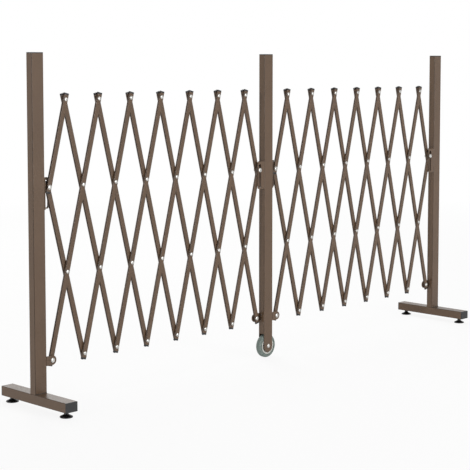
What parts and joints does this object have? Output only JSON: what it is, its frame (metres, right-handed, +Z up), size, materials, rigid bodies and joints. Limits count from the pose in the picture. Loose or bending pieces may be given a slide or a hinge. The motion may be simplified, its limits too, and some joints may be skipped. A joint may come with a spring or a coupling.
{
  "type": "scissor gate",
  "caption": "Free-standing extending gate: riveted scissor lattices between posts, on cross tubes with levelling feet and a centre wheel.",
  "frame": {"origin": "on the floor under the middle post, at the centre of the bounding box's bottom", "axes": "+Z up, +X along the gate from the left post to the right post, -Y the front with the bolt heads"},
  "size_m": [1.986, 0.305, 1.035],
  "materials": {
    "brown_coat": "satin brown powder coat",
    "black_plastic": "matte",
    "black_steel": "satin black coated steel",
    "zinc": "bright zinc plated",
    "tyre": "grey-green soft tread",
    "rim": "matte light grey"
  },
  "bodies": {
    "middle_stand": {"middle_post": "brown_coat", "middle_post_plug": "black_plastic", "middle_left_slotted_bracket": "brown_coat", "middle_right_slotted_bracket": "brown_coat", "middle_left_pivot_bracket": "brown_coat", "middle_right_pivot_bracket": "brown_coat", "middle_bracket_rivets": "brown_coat", "wheel_axle": "zinc"},
    "left_stand": {"left_post": "brown_coat", "left_base_tube": "brown_coat", "left_stand_plugs": "black_plastic", "left_slotted_bracket": "brown_coat", "left_pivot_bracket": "brown_coat", "left_bracket_rivets": "brown_coat", "left_foot_nuts": "zinc"},
    "right_stand": {"right_post": "brown_coat", "right_base_tube": "brown_coat", "right_stand_plugs": "black_plastic", "right_slotted_bracket": "brown_coat", "right_pivot_bracket": "brown_coat", "right_bracket_rivets": "brown_coat", "right_foot_nuts": "zinc"},
    "wheel": {"wheel_tyre": "tyre", "wheel_hub": "rim"},
    "left_front_foot": {"left_front_foot": "black_steel"},
    "left_rear_foot": {"left_rear_foot": "black_steel"},
    "right_front_foot": {"right_front_foot": "black_steel"},
    "right_rear_foot": {"right_rear_foot": "black_steel"},
    "left_front_bar_1": {"left_front_bar_1": "brown_coat"},
    "left_front_bar_2": {"left_front_bar_2": "brown_coat"},
    "left_front_bar_3": {"left_front_bar_3": "brown_coat"},
    "left_front_bar_4": {"left_front_bar_4": "brown_coat"},
    "left_front_bar_5": {"left_front_bar_5": "brown_coat"},
    "left_front_bar_6": {"left_front_bar_6": "brown_coat"},
    "left_front_bar_7": {"left_front_bar_7": "brown_coat"},
    "left_front_bar_8": {"left_front_bar_8": "brown_coat"},
    "left_rear_bar_1": {"left_rear_bar_1": "brown_coat"},
    "left_rear_bar_2": {"left_rear_bar_2": "brown_coat"},
    "left_rear_bar_3": {"left_rear_bar_3": "brown_coat"},
    "left_rear_bar_4": {"left_rear_bar_4": "brown_coat"},
    "left_rear_bar_5": {"left_rear_bar_5": "brown_coat"},
    "left_rear_bar_6": {"left_rear_bar_6": "brown_coat"},
    "left_rear_bar_7": {"left_rear_bar_7": "brown_coat"},
    "left_rear_bar_8": {"left_rear_bar_8": "brown_coat"},
    "right_front_bar_1": {"right_front_bar_1": "brown_coat"},
    "right_front_bar_2": {"right_front_bar_2": "brown_coat"},
    "right_front_bar_3": {"right_front_bar_3": "brown_coat"},
    "right_front_bar_4": {"right_front_bar_4": "brown_coat"},
    "right_front_bar_5": {"right_front_bar_5": "brown_coat"},
    "right_front_bar_6": {"right_front_bar_6": "brown_coat"},
    "right_front_bar_7": {"right_front_bar_7": "brown_coat"},
    "right_front_bar_8": {"right_front_bar_8": "brown_coat"},
    "right_rear_bar_1": {"right_rear_bar_1": "brown_coat"},
    "right_rear_bar_2": {"right_rear_bar_2": "brown_coat"},
    "right_rear_bar_3": {"right_rear_bar_3": "brown_coat"},
    "right_rear_bar_4": {"right_rear_bar_4": "brown_coat"},
    "right_rear_bar_5": {"right_rear_bar_5": "brown_coat"},
    "right_rear_bar_6": {"right_rear_bar_6": "brown_coat"},
    "right_rear_bar_7": {"right_rear_bar_7": "brown_coat"},
    "right_rear_bar_8": {"right_rear_bar_8": "brown_coat"}
  },
  "joints": [
    {"name": "right_fold", "type": "hinge", "parent": "middle_stand", "child": "right_front_bar_2", "pos_m": [0.0428, 0, 0.1395], "axis": [0, 1, 0], "range_deg": [-11.5, 15.8]},
    {"name": "right_rear_bar_3_pivot", "type": "hinge", "parent": "right_front_bar_2", "child": "right_rear_bar_3", "pos_m": [0.23274, 0, 0.89911], "axis": [0, 1, 0], "range_deg": [-31.8, 23.2]},
    {"name": "right_front_bar_5_pivot", "type": "hinge", "parent": "right_rear_bar_3", "child": "right_front_bar_5", "pos_m": [0.42269, 0, 0.1395], "axis": [0, 1, 0], "range_deg": [-23.2, 31.8]},
    {"name": "right_rear_bar_6_pivot", "type": "hinge", "parent": "right_front_bar_5", "child": "right_rear_bar_6", "pos_m": [0.61263, 0, 0.89911], "axis": [0, 1, 0], "range_deg": [-31.8, 23.2]},
    {"name": "right_front_bar_8_pivot", "type": "hinge", "parent": "right_rear_bar_6", "child": "right_front_bar_8", "pos_m": [0.80257, 0, 0.1395], "axis": [0, 1, 0], "range_deg": [-23.2, 31.8]},
    {"name": "right_rear_bar_7_pivot", "type": "hinge", "parent": "right_front_bar_8", "child": "right_rear_bar_7", "pos_m": [0.86589, 0, 0.3927], "axis": [0, 1, 0], "range_deg": [-31.8, 23.2]},
    {"name": "right_rear_bar_2_pivot", "type": "hinge", "parent": "right_front_bar_2", "child": "right_rear_bar_2", "pos_m": [0.16943, 0, 0.64591], "axis": [0, 1, 0], "range_deg": [-31.8, 23.2]},
    {"name": "right_rear_bar_1_pivot", "type": "hinge", "parent": "right_front_bar_2", "child": "right_rear_bar_1", "pos_m": [0.10611, 0, 0.3927], "axis": [0, 1, 0], "range_deg": [-31.8, 23.2]},
    {"name": "right_front_bar_1_pivot", "type": "hinge", "parent": "right_rear_bar_2", "child": "right_front_bar_1", "pos_m": [0.10611, 0, 0.89911], "axis": [0, 1, 0], "range_deg": [-23.2, 31.8]},
    {"name": "right_front_bar_3_pivot", "type": "hinge", "parent": "right_rear_bar_3", "child": "right_front_bar_3", "pos_m": [0.29606, 0, 0.64591], "axis": [0, 1, 0], "range_deg": [-23.2, 31.8]},
    {"name": "right_front_bar_4_pivot", "type": "hinge", "parent": "right_rear_bar_3", "child": "right_front_bar_4", "pos_m": [0.35937, 0, 0.3927], "axis": [0, 1, 0], "range_deg": [-23.2, 31.8]},
    {"name": "right_rear_bar_4_pivot", "type": "hinge", "parent": "right_front_bar_5", "child": "right_rear_bar_4", "pos_m": [0.486, 0, 0.3927], "axis": [0, 1, 0], "range_deg": [-31.8, 23.2]},
    {"name": "right_rear_bar_5_pivot", "type": "hinge", "parent": "right_front_bar_5", "child": "right_rear_bar_5", "pos_m": [0.54931, 0, 0.64591], "axis": [0, 1, 0], "range_deg": [-31.8, 23.2]},
    {"name": "right_front_bar_6_pivot", "type": "hinge", "parent": "right_rear_bar_6", "child": "right_front_bar_6", "pos_m": [0.67594, 0, 0.64591], "axis": [0, 1, 0], "range_deg": [-23.2, 31.8]},
    {"name": "right_front_bar_7_pivot", "type": "hinge", "parent": "right_rear_bar_6", "child": "right_front_bar_7", "pos_m": [0.73926, 0, 0.3927], "axis": [0, 1, 0], "range_deg": [-23.2, 31.8]},
    {"name": "right_rear_bar_8_pivot", "type": "hinge", "parent": "right_front_bar_8", "child": "right_rear_bar_8", "pos_m": [0.9292, 0, 0.64591], "axis": [0, 1, 0], "range_deg": [-31.8, 23.2]},
    {"name": "right_stand_pivot", "type": "hinge", "parent": "right_rear_bar_7", "child": "right_stand", "pos_m": [0.9292, 0, 0.1395], "axis": [0, 1, 0], "range_deg": [-11.7, 16]},
    {"name": "left_fold", "type": "hinge", "parent": "middle_stand", "child": "left_rear_bar_7", "pos_m": [-0.0428, 0, 0.1395], "axis": [0, -1, 0], "range_deg": [-11.5, 15.8]},
    {"name": "left_front_bar_6_pivot", "type": "hinge", "parent": "left_rear_bar_7", "child": "left_front_bar_6", "pos_m": [-0.23274, 0, 0.89911], "axis": [0, 1, 0], "range_deg": [-23.2, 31.8]},
    {"name": "left_rear_bar_4_pivot", "type": "hinge", "parent": "left_front_bar_6", "child": "left_rear_bar_4", "pos_m": [-0.42269, 0, 0.1395], "axis": [0, 1, 0], "range_deg": [-31.8, 23.2]},
    {"name": "left_front_bar_3_pivot", "type": "hinge", "parent": "left_rear_bar_4", "child": "left_front_bar_3", "pos_m": [-0.61263, 0, 0.89911], "axis": [0, 1, 0], "range_deg": [-23.2, 31.8]},
    {"name": "left_rear_bar_1_pivot", "type": "hinge", "parent": "left_front_bar_3", "child": "left_rear_bar_1", "pos_m": [-0.80257, 0, 0.1395], "axis": [0, 1, 0], "range_deg": [-31.8, 23.2]},
    {"name": "left_front_bar_2_pivot", "type": "hinge", "parent": "left_rear_bar_1", "child": "left_front_bar_2", "pos_m": [-0.86589, 0, 0.3927], "axis": [0, 1, 0], "range_deg": [-23.2, 31.8]},
    {"name": "left_front_bar_7_pivot", "type": "hinge", "parent": "left_rear_bar_7", "child": "left_front_bar_7", "pos_m": [-0.16943, 0, 0.64591], "axis": [0, 1, 0], "range_deg": [-23.2, 31.8]},
    {"name": "left_front_bar_8_pivot", "type": "hinge", "parent": "left_rear_bar_7", "child": "left_front_bar_8", "pos_m": [-0.10611, 0, 0.3927], "axis": [0, 1, 0], "range_deg": [-23.2, 31.8]},
    {"name": "left_rear_bar_8_pivot", "type": "hinge", "parent": "left_front_bar_7", "child": "left_rear_bar_8", "pos_m": [-0.10611, 0, 0.89911], "axis": [0, 1, 0], "range_deg": [-31.8, 23.2]},
    {"name": "left_rear_bar_6_pivot", "type": "hinge", "parent": "left_front_bar_6", "child": "left_rear_bar_6", "pos_m": [-0.29606, 0, 0.64591], "axis": [0, 1, 0], "range_deg": [-31.8, 23.2]},
    {"name": "left_rear_bar_5_pivot", "type": "hinge", "parent": "left_front_bar_6", "child": "left_rear_bar_5", "pos_m": [-0.35937, 0, 0.3927], "axis": [0, 1, 0], "range_deg": [-31.8, 23.2]},
    {"name": "left_front_bar_5_pivot", "type": "hinge", "parent": "left_rear_bar_4", "child": "left_front_bar_5", "pos_m": [-0.486, 0, 0.3927], "axis": [0, 1, 0], "range_deg": [-23.2, 31.8]},
    {"name": "left_front_bar_4_pivot", "type": "hinge", "parent": "left_rear_bar_4", "child": "left_front_bar_4", "pos_m": [-0.54931, 0, 0.64591], "axis": [0, 1, 0], "range_deg": [-23.2, 31.8]},
    {"name": "left_rear_bar_3_pivot", "type": "hinge", "parent": "left_front_bar_3", "child": "left_rear_bar_3", "pos_m": [-0.67594, 0, 0.64591], "axis": [0, 1, 0], "range_deg": [-31.8, 23.2]},
    {"name": "left_rear_bar_2_pivot", "type": "hinge", "parent": "left_front_bar_3", "child": "left_rear_bar_2", "pos_m": [-0.73926, 0, 0.3927], "axis": [0, 1, 0], "range_deg": [-31.8, 23.2]},
    {"name": "left_front_bar_1_pivot", "type": "hinge", "parent": "left_rear_bar_1", "child": "left_front_bar_1", "pos_m": [-0.9292, 0, 0.64591], "axis": [0, 1, 0], "range_deg": [-23.2, 31.8]},
    {"name": "left_stand_pivot", "type": "hinge", "parent": "left_front_bar_2", "child": "left_stand", "pos_m": [-0.9292, 0, 0.1395], "axis": [0, 1, 0], "range_deg": [-16, 11.7]},
    {"name": "wheel_roll", "type": "hinge", "parent": "middle_stand", "child": "wheel", "pos_m": [0, 0, 0.04], "axis": [0, 1, 0], "continuous": true},
    {"name": "left_front_foot_screw", "type": "slide", "parent": "left_stand", "child": "left_front_foot", "axis": [0, 0, 1], "range_m": [-0.01, 0]},
    {"name": "left_rear_foot_screw", "type": "slide", "parent": "left_stand", "child": "left_rear_foot", "axis": [0, 0, 1], "range_m": [-0.01, 0]},
    {"name": "right_front_foot_screw", "type": "slide", "parent": "right_stand", "child": "right_front_foot", "axis": [0, 0, 1], "range_m": [-0.01, 0]},
    {"name": "right_rear_foot_screw", "type": "slide", "parent": "right_stand", "child": "right_rear_foot", "axis": [0, 0, 1], "range_m": [-0.01, 0]}
  ],
  "couplings": [
    {"joint": "right_rear_bar_3_pivot", "follows": "right_fold", "ratio": -2},
    {"joint": "right_front_bar_5_pivot", "follows": "right_fold", "ratio": 2},
    {"joint": "right_rear_bar_6_pivot", "follows": "right_fold", "ratio": -2},
    {"joint": "right_front_bar_8_pivot", "follows": "right_fold", "ratio": 2},
    {"joint": "right_rear_bar_7_pivot", "follows": "right_fold", "ratio": -2},
    {"joint": "right_rear_bar_2_pivot", "follows": "right_fold", "ratio": -2},
    {"joint": "right_rear_bar_1_pivot", "follows": "right_fold", "ratio": -2},
    {"joint": "right_front_bar_1_pivot", "follows": "right_fold", "ratio": 2},
    {"joint": "right_front_bar_3_pivot", "follows": "right_fold", "ratio": 2},
    {"joint": "right_front_bar_4_pivot", "follows": "right_fold", "ratio": 2},
    {"joint": "right_rear_bar_4_pivot", "follows": "right_fold", "ratio": -2},
    {"joint": "right_rear_bar_5_pivot", "follows": "right_fold", "ratio": -2},
    {"joint": "right_front_bar_6_pivot", "follows": "right_fold", "ratio": 2},
    {"joint": "right_front_bar_7_pivot", "follows": "right_fold", "ratio": 2},
    {"joint": "right_rear_bar_8_pivot", "follows": "right_fold", "ratio": -2},
    {"joint": "right_stand_pivot", "follows": "right_fold", "ratio": 1},
    {"joint": "left_front_bar_6_pivot", "follows": "left_fold", "ratio": 2},
    {"joint": "left_rear_bar_4_pivot", "follows": "left_fold", "ratio": -2},
    {"joint": "left_front_bar_3_pivot", "follows": "left_fold", "ratio": 2},
    {"joint": "left_rear_bar_1_pivot", "follows": "left_fold", "ratio": -2},
    {"joint": "left_front_bar_2_pivot", "follows": "left_fold", "ratio": 2},
    {"joint": "left_front_bar_7_pivot", "follows": "left_fold", "ratio": 2},
    {"joint": "left_front_bar_8_pivot", "follows": "left_fold", "ratio": 2},
    {"joint": "left_rear_bar_8_pivot", "follows": "left_fold", "ratio": -2},
    {"joint": "left_rear_bar_6_pivot", "follows": "left_fold", "ratio": -2},
    {"joint": "left_rear_bar_5_pivot", "follows": "left_fold", "ratio": -2},
    {"joint": "left_front_bar_5_pivot", "follows": "left_fold", "ratio": 2},
    {"joint": "left_front_bar_4_pivot", "follows": "left_fold", "ratio": 2},
    {"joint": "left_rear_bar_3_pivot", "follows": "left_fold", "ratio": -2},
    {"joint": "left_rear_bar_2_pivot", "follows": "left_fold", "ratio": -2},
    {"joint": "left_front_bar_1_pivot", "follows": "left_fold", "ratio": 2},
    {"joint": "left_stand_pivot", "follows": "left_fold", "ratio": -1}
  ]
}
